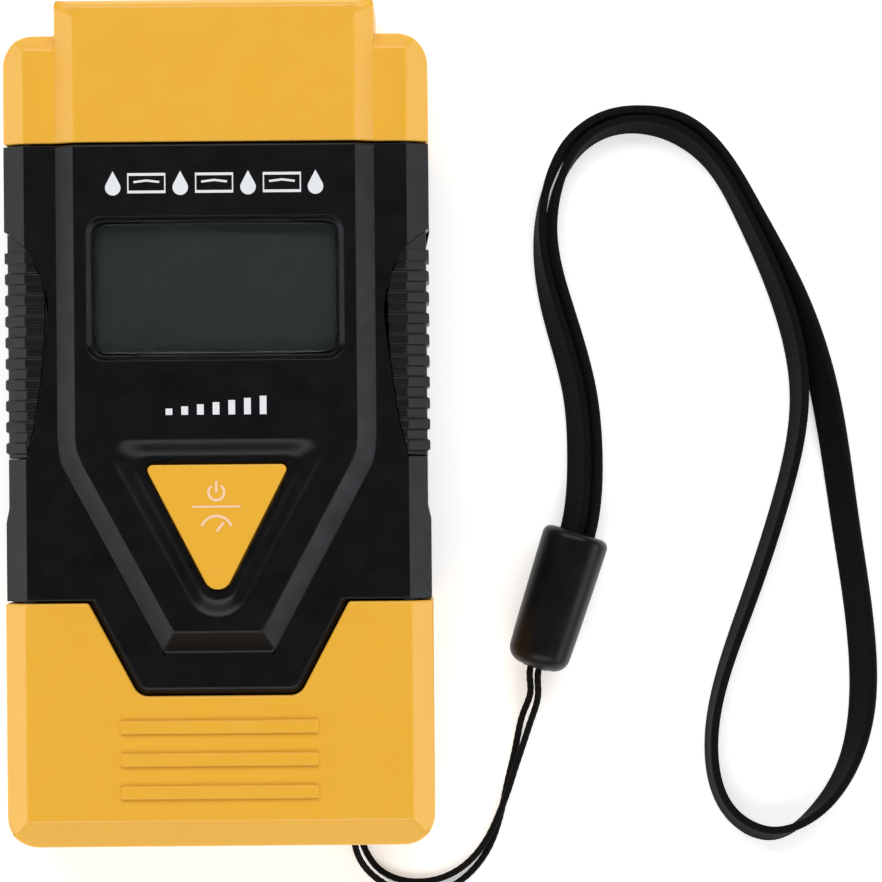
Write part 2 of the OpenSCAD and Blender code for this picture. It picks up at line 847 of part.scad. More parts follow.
module pin_cap() {
    shoulder_end = end_y - 5.4;
    rim = cap_seam + seam_gap;
    raised_half = panel_half + panel_rise;
    // The block's end face leans back from half its height up
    lean_y = end_y - 0.65;
    color(yellow) difference() {
        union() {
            // Shoulders, rounded at the corners and bevelled at the end
            intersection() {
                along_y(rim, shoulder_end) section();
                between(0, shoulder_z) end_plan(body_w / 2, rim, shoulder_end, 4.4);
                along_x(-body_w / 2, body_w / 2) polygon([
                    [rim, 0], [shoulder_end - 2, 0], [shoulder_end, 2],
                    [shoulder_end, shoulder_z - 2], [shoulder_end - 2, shoulder_z], [rim, shoulder_z]
                ]);
            }
            // Middle block over the pins, with the raised panel carried on across it
            intersection() {
                between(0, shoulder_z) end_plan(raised_half, rim, end_y, 1.6);
                along_x(-raised_half, raised_half) polygon([
                    [rim, 0], [end_y - 2, 0], [end_y, 2], [end_y, split_z],
                    [lean_y, shoulder_z], [rim, shoulder_z]
                ]);
            }
            hull() {
                between(shoulder_z - eps, shoulder_z) end_plan(raised_half, rim, lean_y, 1.1);
                between(top_z - eps, top_z) end_plan(panel_half, rim, lean_y - 1.3, 1.1);
            }
        }
        along_y(rim - 1, shoulder_end - wall) section(wall);
        box([-20.6, rim - 1, wall], [20.6, end_y - wall - 0.5, 25]);
    }
}

// Outer form of the battery cover, moved in by inset and open at its upper end
module cover_form(inset, y_open) {
    y_end = inset - end_y;
    half = body_w / 2 + cover_proud - inset;
    high = shoulder_z - inset;
    front = 3.8 - inset * corner_shift;
    back = 2.5 - inset * corner_shift;
    intersection() {
        along_y(y_end, y_open) section(inset, cover_proud);
        between(inset, high) end_plan(half, y_open, y_end, 4.4 - inset);
        along_x(-half, half) polygon([
            [y_open, inset], [y_end + back, inset], [y_end, inset + back],
            [y_end, high - front], [y_end + front, high], [y_open, high]
        ]);
    }
}

module thumb_bars() {
    bar_w = 27.8;
    bar_h = 1.7;
    for (y = [-42.9, -47.5, -52.1]) translate([0, y]) {
        between(shoulder_z - 0.5, shoulder_z + 0.5) rounded(bar_w, bar_h, 0.25);
    }
}

module battery_cover() {
    rim = cover_seam - seam_gap;
    color(yellow) {
        difference() {
            union() {
                cover_form(0, rim);
                box([-back_tongue_half, rim - 4, 0], [back_tongue_half, back_tongue_y, back_tongue_t]);
                thumb_bars();
            }
            difference() {
                cover_form(wall, rim + 1);
                box([eyelet_x[0], -70, 0], [eyelet_x[1], -52.9, 8.8]);
            }
            // Notch for the tongue of the front shell
            between(shoulder_z - wall - 1, top_z) tongue_outline(slide_gap);
            // Pocket that the strap cord passes through
            box([eyelet_x[0] + wall, -70, 0.8], [eyelet_x[1] - wall, -53.8, 7.6]);
        }
        along_x(eyelet_x[0] + wall - eps, eyelet_x[1] - wall + eps)
            translate([eyelet_y, eyelet_z]) circle(eyelet_r);
    }
}

module in_ferrule_frame() {
    translate(ferrule_at) rotate([0, 0, -ferrule_turn]) rotate([-90, 0, 0]) children();
}

module strap_cord() {
    color(black) tube(round_rings(cord_route, cord_d / 2, 8, 2));
}

module strap_band() {
    color(black) tube(band_rings(band_route, band_w, band_t, 2));
}

// Points of a quarter round of radius r about centre, from one angle to another
function arc(centre, r, from, to) = [
    for (i = [0:6]) centre + r * [cos(from + (to - from) * i / 6), sin(from + (to - from) * i / 6)]
];

module strap_ferrule() {
    foot_round = 2.4;
    top_round = 1.2;
    color(black) in_ferrule_frame() rotate_extrude() polygon(concat(
        [[plug_r, plug_len], [plug_r, 0]],
        arc([ferrule_foot_r - foot_round, foot_round], foot_round, -90, 0),
        arc([ferrule_top_r - top_round, ferrule_len - top_round], top_round, 0, 90),
        [[band_bore_r, ferrule_len], [band_bore_r, band_start], [0, band_start], [0, plug_len]]
    ));
}

module ferrule_plug() {
    color(black) in_ferrule_frame() difference() {
        translate([0, 0, -plug_proud]) cylinder(r = plug_r, h = plug_len + plug_proud);
        both_sides() translate([strand_offset, 0, -plug_proud - 1])
            cylinder(r = cord_d / 2 + cord_hole_gap, h = cord_hole_depth + 1);
    }
}

front_shell();
rear_shell();
left_grip();
right_grip();
window_lens();
lcd_panel();
lcd_frame();
zebra_strip();
main_board();
mcu_chip();
board_parts();
board_screws();
case_screws();
tact_switch();
switch_plunger();
power_button();
electrode_block();
left_socket();
right_socket();
left_pin();
right_pin();
electrode_strips();
cell_1();
cell_2();
cell_3();
battery_springs();
contact_top_single();
contact_top_bridge();
contact_bottom_bridge();
contact_bottom_single();
battery_lead();
rear_label();
pin_cap();
battery_cover();
strap_cord();
strap_ferrule();
ferrule_plug();
strap_band();
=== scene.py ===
import math

import bmesh
import bpy
import numpy as np
from mathutils import Matrix, Vector


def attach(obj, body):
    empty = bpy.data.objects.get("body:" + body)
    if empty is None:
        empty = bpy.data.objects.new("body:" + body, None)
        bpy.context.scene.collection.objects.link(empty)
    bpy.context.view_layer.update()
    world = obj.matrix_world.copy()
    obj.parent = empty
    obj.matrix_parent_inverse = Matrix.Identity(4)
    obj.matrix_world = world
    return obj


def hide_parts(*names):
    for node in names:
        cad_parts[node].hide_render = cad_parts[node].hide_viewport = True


MM = 0.001

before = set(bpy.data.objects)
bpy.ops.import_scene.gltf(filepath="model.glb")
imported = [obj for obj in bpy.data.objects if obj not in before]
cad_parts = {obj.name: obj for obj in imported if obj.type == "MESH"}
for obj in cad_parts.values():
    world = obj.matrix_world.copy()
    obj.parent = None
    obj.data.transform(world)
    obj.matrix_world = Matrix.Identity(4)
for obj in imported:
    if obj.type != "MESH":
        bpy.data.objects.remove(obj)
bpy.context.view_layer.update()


# ---------------------------------------------------------------- small helpers

def new_object(name, mesh):
    obj = bpy.data.objects.new(name, mesh)
    bpy.context.scene.collection.objects.link(obj)
    return obj


def mesh_object(name, points, faces, smooth=True):
    """A mesh object from points in metres and its faces."""
    mesh = bpy.data.meshes.new(name)
    mesh.from_pydata([tuple(p) for p in points], [], faces)
    mesh.polygons.foreach_set("use_smooth", [smooth] * len(mesh.polygons))
    mesh.update()
    return new_object(name, mesh)


def dress(obj, material, body=None):
    """Gives a piece its only material and, when one is named, its body."""
    obj.data.materials.clear()
    obj.data.materials.append(material)
    if body:
        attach(obj, body)
    return obj


# ---------------------------------------------------------------- camera

def make_camera():
    """Straight above, as the display is read, with a long lens."""
    camera = bpy.data.cameras.new("camera")
    camera.lens = 209.5
    camera.sensor_width = 36
    camera.clip_start = 0.05
    camera.clip_end = 10
    holder = new_object("camera", camera)
    holder.location = (31.47 * MM, -2.98 * MM, 747 * MM)
    holder.rotation_euler = (0, 0, math.radians(-0.5))
    bpy.context.scene.camera = holder


make_camera()


# ---------------------------------------------------------------- strap routes, as in the CAD source

FERRULE_AT = (44.8, -35.7, 4.9)
FERRULE_TURN = math.radians(18)
FERRULE_LEN = 20.3
BAND_W = 5
BAND_T = 1.2
CORD_D = 1
MOUTH_LEAN = 36
LAYER_OFFSET = 0.82
STRAND_OFFSET = 0.62


def ferrule_point(along, across):
    """A point in mm, measured from the ferrule's foot along its axis and across it."""
    return [
        FERRULE_AT[0] + along * math.sin(FERRULE_TURN) + across * math.cos(FERRULE_TURN),
        FERRULE_AT[1] + along * math.cos(FERRULE_TURN) - across * math.sin(FERRULE_TURN),
        FERRULE_AT[2],
    ]


# Each point of the webbing's route is x, y, z and its lean in degrees
BAND_ROUTE = [
    ferrule_point(15.8, -LAYER_OFFSET) + [-MOUTH_LEAN],
    ferrule_point(20.6, -LAYER_OFFSET) + [-MOUTH_LEAN],
    [51.5, -5.5, 3, -36], [50.9, 3.5, 2.4, -33], [47.5, 16.8, 2.5, -27],
    [46.1, 27, 2.6, -9], [48, 36, 2.6, 4], [50.6, 40.2, 2.6, 10], [55.9, 43.6, 2.6, 16],
    [61.5, 44.1, 2.6, 20], [66.6, 42.8, 2.5, 26], [72.2, 38.2, 2.5, 20],
    [76.8, 30.6, 2.6, 20], [83.2, 17.2, 2.4, 34], [87.1, 4, 2.3, 46], [90, -15, 2.3, 44],
    [92.3, -33.6, 2.3, 43], [92.2, -42, 2.4, 39], [89.9, -50.8, 2.5, 24],
    [85.2, -57.3, 2.6, 8], [78.8, -60.3, 2.6, -17], [73.2, -57.4, 2.6, -14],
    [70.4, -50, 2.6, -10], [71.2, -40.5, 2.6, -10], [75.3, -28, 2.6, -15],
    [80.9, -11.3, 2.6, -18], [83.5, 3.5, 2.6, -22], [81.3, 16.1, 2.6, -26],
    [75.5, 29.8, 2.6, -20], [71.1, 37.2, 2.5, -20], [65.5, 41.6, 2.5, -26],
    [56.2, 42.1, 2.6, -16], [51.6, 39, 2.6, -8], [49.3, 35.1, 2.6, 0],
    [47.7, 27, 2.6, 9], [49.2, 16.8, 2.5, 27], [52.5, 3.5, 2.4, 33],
    [53.1, -5.5, 3, 36],
    ferrule_point(20.6, LAYER_OFFSET) + [MOUTH_LEAN],
    ferrule_point(15.8, LAYER_OFFSET) + [MOUTH_LEAN],
]

CORD_ROUTE = [
    ferrule_point(2.35, -STRAND_OFFSET),
    ferrule_point(0.8, -STRAND_OFFSET),
    ferrule_point(-0.35, -STRAND_OFFSET),
    [44.1, -39.4, 3.7], [43.1, -42.4, 2.2], [42.3, -45.6, 1.1], [41.6, -49, 0.7],
    [40.8, -52.2, 0.7], [40.1, -55.4, 0.7], [39.3, -58.6, 0.7], [37.9, -62.1, 0.7],
    [35.6, -65.3, 0.7], [32.3, -67.8, 0.7], [28.3, -68.9, 0.7], [24.6, -68.2, 0.9],
    [21.6, -66.4, 1.9], [19.5, -63.9, 4.1], [18.6, -61.4, 6], [18.4, -59.3, 6.7],
    [18.5, -57.2, 6.8], [18.7, -55.4, 6], [18.9, -54.6, 4.2], [19.2, -55.4, 2.4],
    [19.3, -57.2, 1.6], [19.3, -60, 1.4], [20.1, -62.6, 0.9], [21.7, -64.9, 0.7],
    [24.4, -66.5, 0.7], [27.2, -67, 0.7], [30.6, -66.6, 0.7], [33.9, -65, 0.9],
    [36.3, -62.7, 1.5], [38.1, -60, 1.8], [39.4, -57.2, 1.9], [40.6, -54.2, 2],
    [41.8, -50.6, 2], [43.1, -46.8, 2], [44.3, -43.2, 2.7], [45.2, -39.8, 3.9],
    ferrule_point(-0.35, STRAND_OFFSET),
    ferrule_point(0.8, STRAND_OFFSET),
    ferrule_point(2.35, STRAND_OFFSET),
]


def smooth_route(route, spacing):
    """A natural cubic spline through the route: evenly spaced points, their directions and its length."""
    knots = np.array(route, float)
    steps = np.linalg.norm(np.diff(knots[:, :3], axis=0), axis=1)
    s = np.concatenate([[0], np.cumsum(steps)])
    n = len(s)
    system = np.zeros((n, n))
    right = np.zeros((n, knots.shape[1]))
    system[0, 0] = system[-1, -1] = 1
    for i in range(1, n - 1):
        before, after = steps[i - 1], steps[i]
        system[i, i - 1:i + 2] = before, 2 * (before + after), after
        right[i] = 6 * ((knots[i + 1] - knots[i]) / after - (knots[i] - knots[i - 1]) / before)
    second = np.linalg.solve(system, right)

    def at(t):
        i = np.clip(np.searchsorted(s, t, side="right") - 1, 0, n - 2)
        h = (s[i + 1] - s[i])[:, None]
        a = (s[i + 1] - t)[:, None] / h
        b = 1 - a
        return (a * knots[i] + b * knots[i + 1]
                + ((a ** 3 - a) * second[i] + (b ** 3 - b) * second[i + 1]) * h * h / 6)

    fine = at(np.linspace(0, s[-1], 4000))
    run = np.concatenate([[0], np.cumsum(np.linalg.norm(np.diff(fine[:, :3], axis=0), axis=1))])
    count = max(2, int(round(run[-1] / spacing)))
    wanted = np.linspace(0, run[-1], count + 1)
    path = np.stack([np.interp(wanted, run, fine[:, k]) for k in range(fine.shape[1])], axis=1)
    ways = np.gradient(path[:, :3], axis=0)
    ways /= np.linalg.norm(ways, axis=1)[:, None]
    return path, ways, run[-1]


def tube_faces(rings, sides):
    """The faces of a tube of point rings, closed at both ends."""
    faces = []
    for r in range(rings - 1):
        for k in range(sides):
            a, b = r * sides + k, r * sides + (k + 1) % sides
            faces.append((a, b, b + sides, a + sides))
    faces.append(tuple(range(sides))[::-1])
    faces.append(tuple((rings - 1) * sides + k for k in range(sides)))
    return faces


# ---------------------------------------------------------------- node materials

class Nodes:
    """Short names for building one material's node tree."""

    def __init__(self, name):
        self.material = bpy.data.materials.new(name)
        self.material.use_nodes = True
        self.tree = self.material.node_tree
        self.tree.nodes.clear()
        self.shader = self.add("ShaderNodeBsdfPrincipled")
        out = self.add("ShaderNodeOutputMaterial")
        self.link(self.shader.outputs[0], out.inputs["Surface"])
        self.place = self.add("ShaderNodeTexCoord").outputs["Object"]

    def add(self, kind, **sockets):
        node = self.tree.nodes.new(kind)
        for key, value in sockets.items():
            node.inputs[key].default_value = value
        return node

    def link(self, source, target):
        self.tree.links.new(source, target)

    def noise(self, scale, detail=3.0, roughness=0.5, place=None):
        node = self.add("ShaderNodeTexNoise", Scale=scale, Detail=detail, Roughness=roughness)
        self.link(place or self.place, node.inputs["Vector"])
        return node.outputs["Fac"]

    def voronoi(self, scale):
        node = self.add("ShaderNodeTexVoronoi", Scale=scale)
        self.link(self.place, node.inputs["Vector"])
        return node.outputs["Distance"]

    def span(self, value, low, high, to_low, to_high):
        """value carried from one range to another."""
        node = self.add("ShaderNodeMapRange")
        for key, number in zip(("From Min", "From Max", "To Min", "To Max"), (low, high, to_low, to_high)):
            node.inputs[key].default_value = number
        self.link(value, node.inputs["Value"])
        return node.outputs["Result"]

    def math(self, operation, a, b):
        node = self.tree.nodes.new("ShaderNodeMath")
        node.operation = operation
        for socket, value in zip(node.inputs, (a, b)):
            if isinstance(value, (int, float)):
                socket.default_value = value
            else:
                self.link(value, socket)
        return node.outputs[0]

    def blend(self, share, one, other):
        """A colour between two, by share."""
        node = self.tree.nodes.new("ShaderNodeMix")
        node.data_type = "RGBA"
        self.link(share, node.inputs["Factor"])
        for socket, value in ((node.inputs["A"], one), (node.inputs["B"], other)):
            if isinstance(value, (tuple, list)):
                socket.default_value = (*value, 1)
            else:
                self.link(value, socket)
        return node.outputs["Result"]

    def bump(self, height, depth, strength=1.0, under=None):
        node = self.add("ShaderNodeBump", Strength=strength, Distance=depth)
        self.link(height, node.inputs["Height"])
        if under:
            self.link(under, node.inputs["Normal"])
        return node.outputs["Normal"]

    def colour(self, value):
        self.link(value, self.shader.inputs["Base Color"])

    def rough(self, value):
        self.link(value, self.shader.inputs["Roughness"])

    def normal(self, value):
        self.link(value, self.shader.inputs["Normal"])

    def set(self, **sockets):
        for key, value in sockets.items():
            self.shader.inputs[key.replace("_", " ")].default_value = value
        return self


def shade(colour, factor):
    """A colour made darker or lighter."""
    return tuple(min(1.0, c * factor) for c in colour)


def moulded(name, colour, rough, grain=0.010, grain_scale=4200, vary=0.06, specular=0.5, soft=0.0):
    """Moulded plastic: spark-eroded grain, faint flow mottling and handling marks in its gloss."""
    n = Nodes(name)
    flow = n.noise(90, 4, 0.55)
    n.colour(n.blend(flow, shade(colour, 1 - vary), shade(colour, 1 + vary)))
    smudge = n.span(n.noise(260, 5, 0.6), 0.3, 0.75, rough - 0.05, rough + 0.07)
    fine = n.span(n.noise(5200, 2, 0.5), 0.3, 0.7, -0.02, 0.02)
    n.rough(n.math("ADD", smudge, fine))
    spark = n.noise(grain_scale, 3, 0.6)
    pits = n.math("MULTIPLY", n.voronoi(grain_scale * 0.6), 0.4)
    grains = n.math("ADD", spark, pits)
    n.normal(n.bump(grains, grain * MM, 0.6))
    n.set(Specular_IOR_Level=specular)
    if soft:
        n.set(Subsurface_Weight=soft, Subsurface_Radius=(1.6, 0.8, 0.25), Subsurface_Scale=0.0008)
    return n.material


def metal(name, colour, rough, stretch=(1, 1, 1), vary=0.05):
    """Metal with fine tool marks drawn out along one axis and a slightly uneven polish."""
    n = Nodes(name)
    mapping = n.add("ShaderNodeMapping")
    mapping.inputs["Scale"].default_value = stretch
    n.link(n.place, mapping.inputs["Vector"])
    marks = n.noise(3000, 4, 0.6, mapping.outputs["Vector"])
    n.colour(n.blend(n.noise(420, 3), shade(colour, 1 - vary), shade(colour, 1 + vary)))
    n.rough(n.span(marks, 0.25, 0.75, max(0.05, rough - 0.08), rough + 0.1))
    n.normal(n.bump(marks, 0.004 * MM, 0.5))
    n.set(Metallic=1.0)
    return n.material


def printed(name, colour):
    """Screen ink: slightly uneven cover with a dry, matt surface."""
    n = Nodes(name)
    n.colour(n.blend(n.noise(1500, 4, 0.6), shade(colour, 0.93), colour))
    n.rough(n.span(n.noise(3600, 2), 0.3, 0.7, 0.5, 0.62))
    n.normal(n.bump(n.noise(6000, 3), 0.004 * MM, 0.5))
    return n.material


def woven(name, colour, across, along):
    """Woven black polyester: ribs across it and finer yarn along it, from the piece's own band_place; its
    colour carries painted shade in the weave's hollows and painted highlight on its crests.
    """
    n = Nodes(name)
    side = n.add("ShaderNodeAttribute")
    side.attribute_name = "band_place"
    split = n.add("ShaderNodeSeparateXYZ")
    n.link(side.outputs["Vector"], split.inputs[0])
    ribs = n.math("SINE", n.math("MULTIPLY", split.outputs["X"], 2 * math.pi / along), 0)
    yarns = n.math("SINE", n.math("MULTIPLY", split.outputs["Y"], 2 * math.pi / across), 0)
    fuzz = n.noise(7000, 3, 0.7)
    weave = n.math("ADD", n.math("MULTIPLY", ribs, 0.5), n.math("MULTIPLY", yarns, 0.15))
    height = n.math("ADD", weave, n.math("MULTIPLY", fuzz, 0.6))
    # The colour follows the weave's height: painted shade in the hollows between ribs and yarns, painted
    # highlight on their crests; the fuzz in it adds random tone.
    n.colour(n.blend(n.span(height, -0.2, 1.0, 0, 1), shade(colour, 0.7), shade(colour, 1.3)))
    n.rough(n.span(fuzz, 0.3, 0.7, 0.72, 0.9))
    n.normal(n.bump(height, 0.03 * MM, 0.7))
    n.set(Sheen_Weight=0.015, Sheen_Roughness=0.4, Specular_IOR_Level=0.1)
    return n.material


def clear(name, tint):
    """Clear plastic with a faint tint; its low index keeps the display visible in slanted views."""
    n = Nodes(name)
    n.colour(n.blend(n.noise(60, 2), shade(tint, 0.97), tint))
    n.rough(n.span(n.noise(420, 4, 0.6), 0.3, 0.8, 0.045, 0.055))
    n.set(Transmission_Weight=1.0, IOR=1.3, Specular_IOR_Level=0.3)
    return n.material


BLACK = (0.0036, 0.0036, 0.0045)
YELLOW = (0.80, 0.418, 0.033)

M = {
    "shell_black": moulded("shell_black", BLACK, 0.35, grain=0.010, vary=0.05, specular=0.21),
    "cover_yellow": moulded("cover_yellow", YELLOW, 0.38, grain=0.008, vary=0.02, soft=0.06),
    "button_yellow": moulded("button_yellow", shade(YELLOW, 1.02), 0.34, grain=0.006, vary=0.015, soft=0.06),
    "grip_rubber": moulded("grip_rubber", (0.004, 0.004, 0.0047), 0.44,
                           grain=0.012, grain_scale=3200, vary=0.06, specular=0.25),
    "frame_white": moulded("frame_white", (0.62, 0.62, 0.58), 0.45),
    "block_black": moulded("block_black", (0.016, 0.016, 0.018), 0.42),
    "zebra_rubber": moulded("zebra_rubber", (0.45, 0.14, 0.18), 0.6),
    "board_green": moulded("board_green", (0.012, 0.12, 0.045), 0.3, grain=0.006),
    "chip_black": moulded("chip_black", (0.014, 0.014, 0.015), 0.55),
    "board_parts": moulded("board_parts", (0.22, 0.16, 0.10), 0.4),
    "ferrule_black": moulded("ferrule_black", (0.0045, 0.0045, 0.0052), 0.35,
                             grain=0.003, vary=0.06, specular=0.18),
    "plug_black": moulded("plug_black", (0.010, 0.010, 0.011), 0.4),
    "lead_black": moulded("lead_black", (0.012, 0.012, 0.013), 0.35),
    "cell_wrap": moulded("cell_wrap", (0.06, 0.17, 0.34), 0.22, grain=0.003),
    "label_grey": moulded("label_grey", (0.42, 0.43, 0.43), 0.42, grain=0.004),
    "screw_steel": metal("screw_steel", (0.52, 0.53, 0.55), 0.3),
    "pin_steel": metal("pin_steel", (0.62, 0.63, 0.65), 0.18, stretch=(1, 0.1, 1)),
    "contact_steel": metal("contact_steel", (0.58, 0.57, 0.54), 0.3),
    "socket_brass": metal("socket_brass", (0.62, 0.42, 0.16), 0.26),
    "ink_white": printed("ink_white", (0.76, 0.78, 0.80)),
    "ink_pale": printed("ink_pale", (0.94, 0.62, 0.42)),
    "ink_dark": printed("ink_dark", (0.03, 0.03, 0.032)),
    "webbing_black": woven("webbing_black", (0.0034, 0.0034, 0.0035), 0.0009, 0.0011),
    "cord_black": woven("cord_black", (0.0045, 0.0045, 0.0046), 0.0006, 0.0008),
    "window_clear": clear("window_clear", (0.86, 0.90, 0.87)),
}


# ---------------------------------------------------------------- strap

def band_place(obj, values):
    """Each point's place along, across and through a strap piece, in metres, for its weave."""
    attribute = obj.data.attributes.new("band_place", "FLOAT_VECTOR", "POINT")
    attribute.data.foreach_set("vector", np.asarray(values, np.float32).ravel())


# The webbing's ribs, the cord's braid and the spacing of their rings of points, in mm
BAND_SPACING = 0.275
RIB_PITCH = 1.1
RIB_LIFT = 0.05
CORD_SPACING = 0.16
CORD_SIDES = 16
BRAID_PITCH = 4.5


def make_band():
    """Flat ribbed webbing with two rounded selvedges, leaning as the route says."""
    path, ways, length = smooth_route(BAND_ROUTE, BAND_SPACING)
    half_w, half_t = BAND_W / 2, BAND_T / 2
    # Section: shares of the half thickness and the half width, and how much the ribs lift it
    face = [(1.0, -0.80, 0.6), (0.86, -0.60, 1), (0.84, -0.30, 1), (0.84, 0, 1),
            (0.84, 0.30, 1), (0.86, 0.60, 1), (1.0, 0.80, 0.6)]
    selvedge = [(0.72, 0.95, 0.2), (0, 1.0, 0), (-0.72, 0.95, 0.2)]
    back = [(-t, w, k) for t, w, k in reversed(face)]
    section = np.array(face + selvedge + back + [(-t, -w, k) for t, w, k in selvedge])
    points, places = [], []
    up_axis = np.array([0.0, 0.0, 1.0])
    for i, (p, way) in enumerate(zip(path, ways)):
        run = length * i / (len(path) - 1)
        left = np.cross(up_axis, way)
        left /= np.linalg.norm(left)
        up = np.cross(way, left)
        lean = math.radians(p[3])
        across = up * math.cos(lean) + left * math.sin(lean)
        through = left * math.cos(lean) - up * math.sin(lean)
        lift = RIB_LIFT * math.cos(2 * math.pi * run / RIB_PITCH)
        for t, w, k in section:
            thick = t * half_t + math.copysign(lift * k, t) - math.copysign(RIB_LIFT * k, t)
            points.append((p[:3] + through * thick + across * (w * half_w)) * MM)
            places.append((run * MM, w * half_w * MM, t * half_t * MM))
    obj = mesh_object("strap_webbing", points, tube_faces(len(path), len(section)))
    band_place(obj, places)
    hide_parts("strap_band")
    dress(obj, M["webbing_black"], "cover_body")
    return obj, path[:, :3] * MM, length * MM


def make_thin_cord():
    """Braided cord: eight strands that cross, as ridges on a round section."""
    radius = CORD_D / 2
    path, ways, length = smooth_route(CORD_ROUTE, CORD_SPACING)
    side = np.array([0.0, 0.0, 1.0])
    points, places = [], []
    for i, (p, way) in enumerate(zip(path, ways)):
        side = side - (side @ way) * way
        side /= np.linalg.norm(side)
        other = np.cross(way, side)
        run = length * i / (len(path) - 1)
        turn = 2 * math.pi * run / BRAID_PITCH
        for k in range(CORD_SIDES):
            angle = 2 * math.pi * k / CORD_SIDES
            ridge = abs(math.cos(2 * (angle + turn)) * math.cos(2 * (angle - turn)))
            r = radius * (0.93 + 0.07 * ridge)
            points.append((p[:3] + r * (math.cos(angle) * side + math.sin(angle) * other)) * MM)
            places.append((run * MM, angle * radius * MM, 0))
    obj = mesh_object("strap_thin_cord", points, tube_faces(len(path), CORD_SIDES))
    band_place(obj, places)
    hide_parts("strap_cord")
    dress(obj, M["cord_black"], "cover_body")
    return obj, path[:, :3] * MM, length * MM


def ferrule_matrix():
    """Carries a turned piece's own axis to the ferrule's place."""
    turn = Matrix.Rotation(-FERRULE_TURN, 4, "Z") @ Matrix.Rotation(-math.pi / 2, 4, "X")
    return Matrix.Translation(Vector(FERRULE_AT) * MM) @ turn


def lathe(name, profile, sides, place):
    """A turned solid from (radius, height) pairs in mm, closed where the radius is 0."""
    points, rows = [], []
    for r, z in profile:
        if r < 1e-6:
            rows.append([len(points)])
            points.append(place @ (Vector((0, 0, z)) * MM))
        else:
            rows.append(list(range(len(points), len(points) + sides)))
            for k in range(sides):
                angle = 2 * math.pi * k / sides
                points.append(place @ (Vector((r * math.cos(angle), r * math.sin(angle), z)) * MM))
    faces = []
    for low, high in zip(rows, rows[1:]):
        for k in range(sides):
            a, b = low[k % len(low)], low[(k + 1) % len(low)]
            c, d = high[(k + 1) % len(high)], high[k % len(high)]
            faces.append(tuple(dict.fromkeys((a, b, c, d))))
    obj = mesh_object(name, points, faces)
    turn_outward(obj)
    return obj


def turn_outward(obj):
    """Turns every face of a closed mesh outward."""
    bm = bmesh.new()
    bm.from_mesh(obj.data)
    bmesh.ops.recalc_face_normals(bm, faces=bm.faces)
    bm.to_mesh(obj.data)
    bm.free()


def arc(centre, r, start, end, count):
    """Points round a centre from one angle to another, in degrees."""
    return [
        (centre[0] + r * math.cos(math.radians(start + (end - start) * i / count)),
         centre[1] + r * math.sin(math.radians(start + (end - start) * i / count)))
        for i in range(count + 1)
    ]


def make_ferrule():
    """Polished sleeve, with a soft foot, a rolled mouth and a blind bore for the webbing's two ends."""
    top, foot, foot_round, top_round, plug, bore = 4.85, 4.5, 2.4, 1.2, 1.8, 3.5
    profile = [(plug, 5.4), (plug, 0.1)] + arc((plug + 0.1, 0.1), 0.1, 180, 270, 3)
    profile += arc((foot - foot_round, foot_round), foot_round, -90, 0, 12)
    profile += [(foot + 0.12, 6), (foot + 0.25, 13)]
    profile += arc((top - top_round, FERRULE_LEN - top_round), top_round, 0, 90, 10)
    profile += [(bore, FERRULE_LEN - 0.12), (bore, 15.9), (0, 15.8)]
    obj = lathe("ferrule_sleeve", [(0, 5.5)] + profile, 96, ferrule_matrix())
    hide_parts("strap_ferrule")
    return dress(obj, M["ferrule_black"], "cover_body")


def declare_strap():
    """Builds the strap: the webbing, the thin cord and the ferrule."""
    band, band_path, band_length = make_band()
    thin, thin_path, thin_length = make_thin_cord()
    ferrule = make_ferrule()


declare_strap()


# ---------------------------------------------------------------- CAD nodes that stay

KEPT = {
    "lcd_frame": "frame_white", "zebra_strip": "zebra_rubber", "main_board": "board_green",
    "mcu_chip": "chip_black", "board_parts": "board_parts", "board_screws": "screw_steel",
    "case_screws": "screw_steel", "tact_switch": "chip_black", "switch_plunger": "button_yellow",
    "electrode_block": "block_black", "left_socket": "socket_brass", "right_socket": "socket_brass",
    "left_pin": "pin_steel", "right_pin": "pin_steel", "electrode_strips": "socket_brass",
    "cell_1": "cell_wrap", "cell_2": "cell_wrap", "cell_3": "cell_wrap",
    "battery_springs": "contact_steel", "contact_top_single": "contact_steel",
    "contact_top_bridge": "contact_steel", "contact_bottom_bridge": "contact_steel",
    "contact_bottom_single": "contact_steel", "battery_lead": "lead_black", "rear_label": "label_grey",
    "ferrule_plug": "plug_black", "window_lens": "window_clear", "lcd_panel": "lcd_glass",
}


def lcd_glass():
    """The display's dark grey-green polariser over faint drop-out marks of its electrodes."""
    n = Nodes("lcd_glass")
    mottle = n.noise(35, 3, 0.5)
    n.colour(n.blend(mottle, (0.049, 0.0585, 0.0545), (0.0515, 0.061, 0.057)))
    n.rough(n.span(n.noise(900, 3), 0.3, 0.7, 0.30, 0.32))
    n.normal(n.bump(n.noise(2600, 2), 0.001 * MM, 0.15))
    n.set(Specular_IOR_Level=0.4)
    return n.material


M["lcd_glass"] = lcd_glass()


# How near two points are welded, in mm, and how nearly flat faces are merged, in degrees
WELD = 0.002
FLAT_ANGLE = 0.4
KEPT_FLAT_ANGLE = 0.6


def round_edges(obj, width, angle=30, segments=2):
    """Modifiers that weld a kept node, merge its flat faces and round its sharp edges."""
    weld = obj.modifiers.new("weld", "WELD")
    weld.merge_threshold = WELD * MM
    flat = obj.modifiers.new("flat", "DECIMATE")
    flat.decimate_type = "DISSOLVE"
    flat.angle_limit = math.radians(KEPT_FLAT_ANGLE)
    bevel = obj.modifiers.new("round", "BEVEL")
    bevel.width = width * MM
    bevel.segments = segments
    bevel.limit_method = "ANGLE"
    bevel.angle_limit = math.radians(angle)
    bevel.harden_normals = False
    weighted = obj.modifiers.new("normals", "WEIGHTED_NORMAL")
    weighted.weight = 60


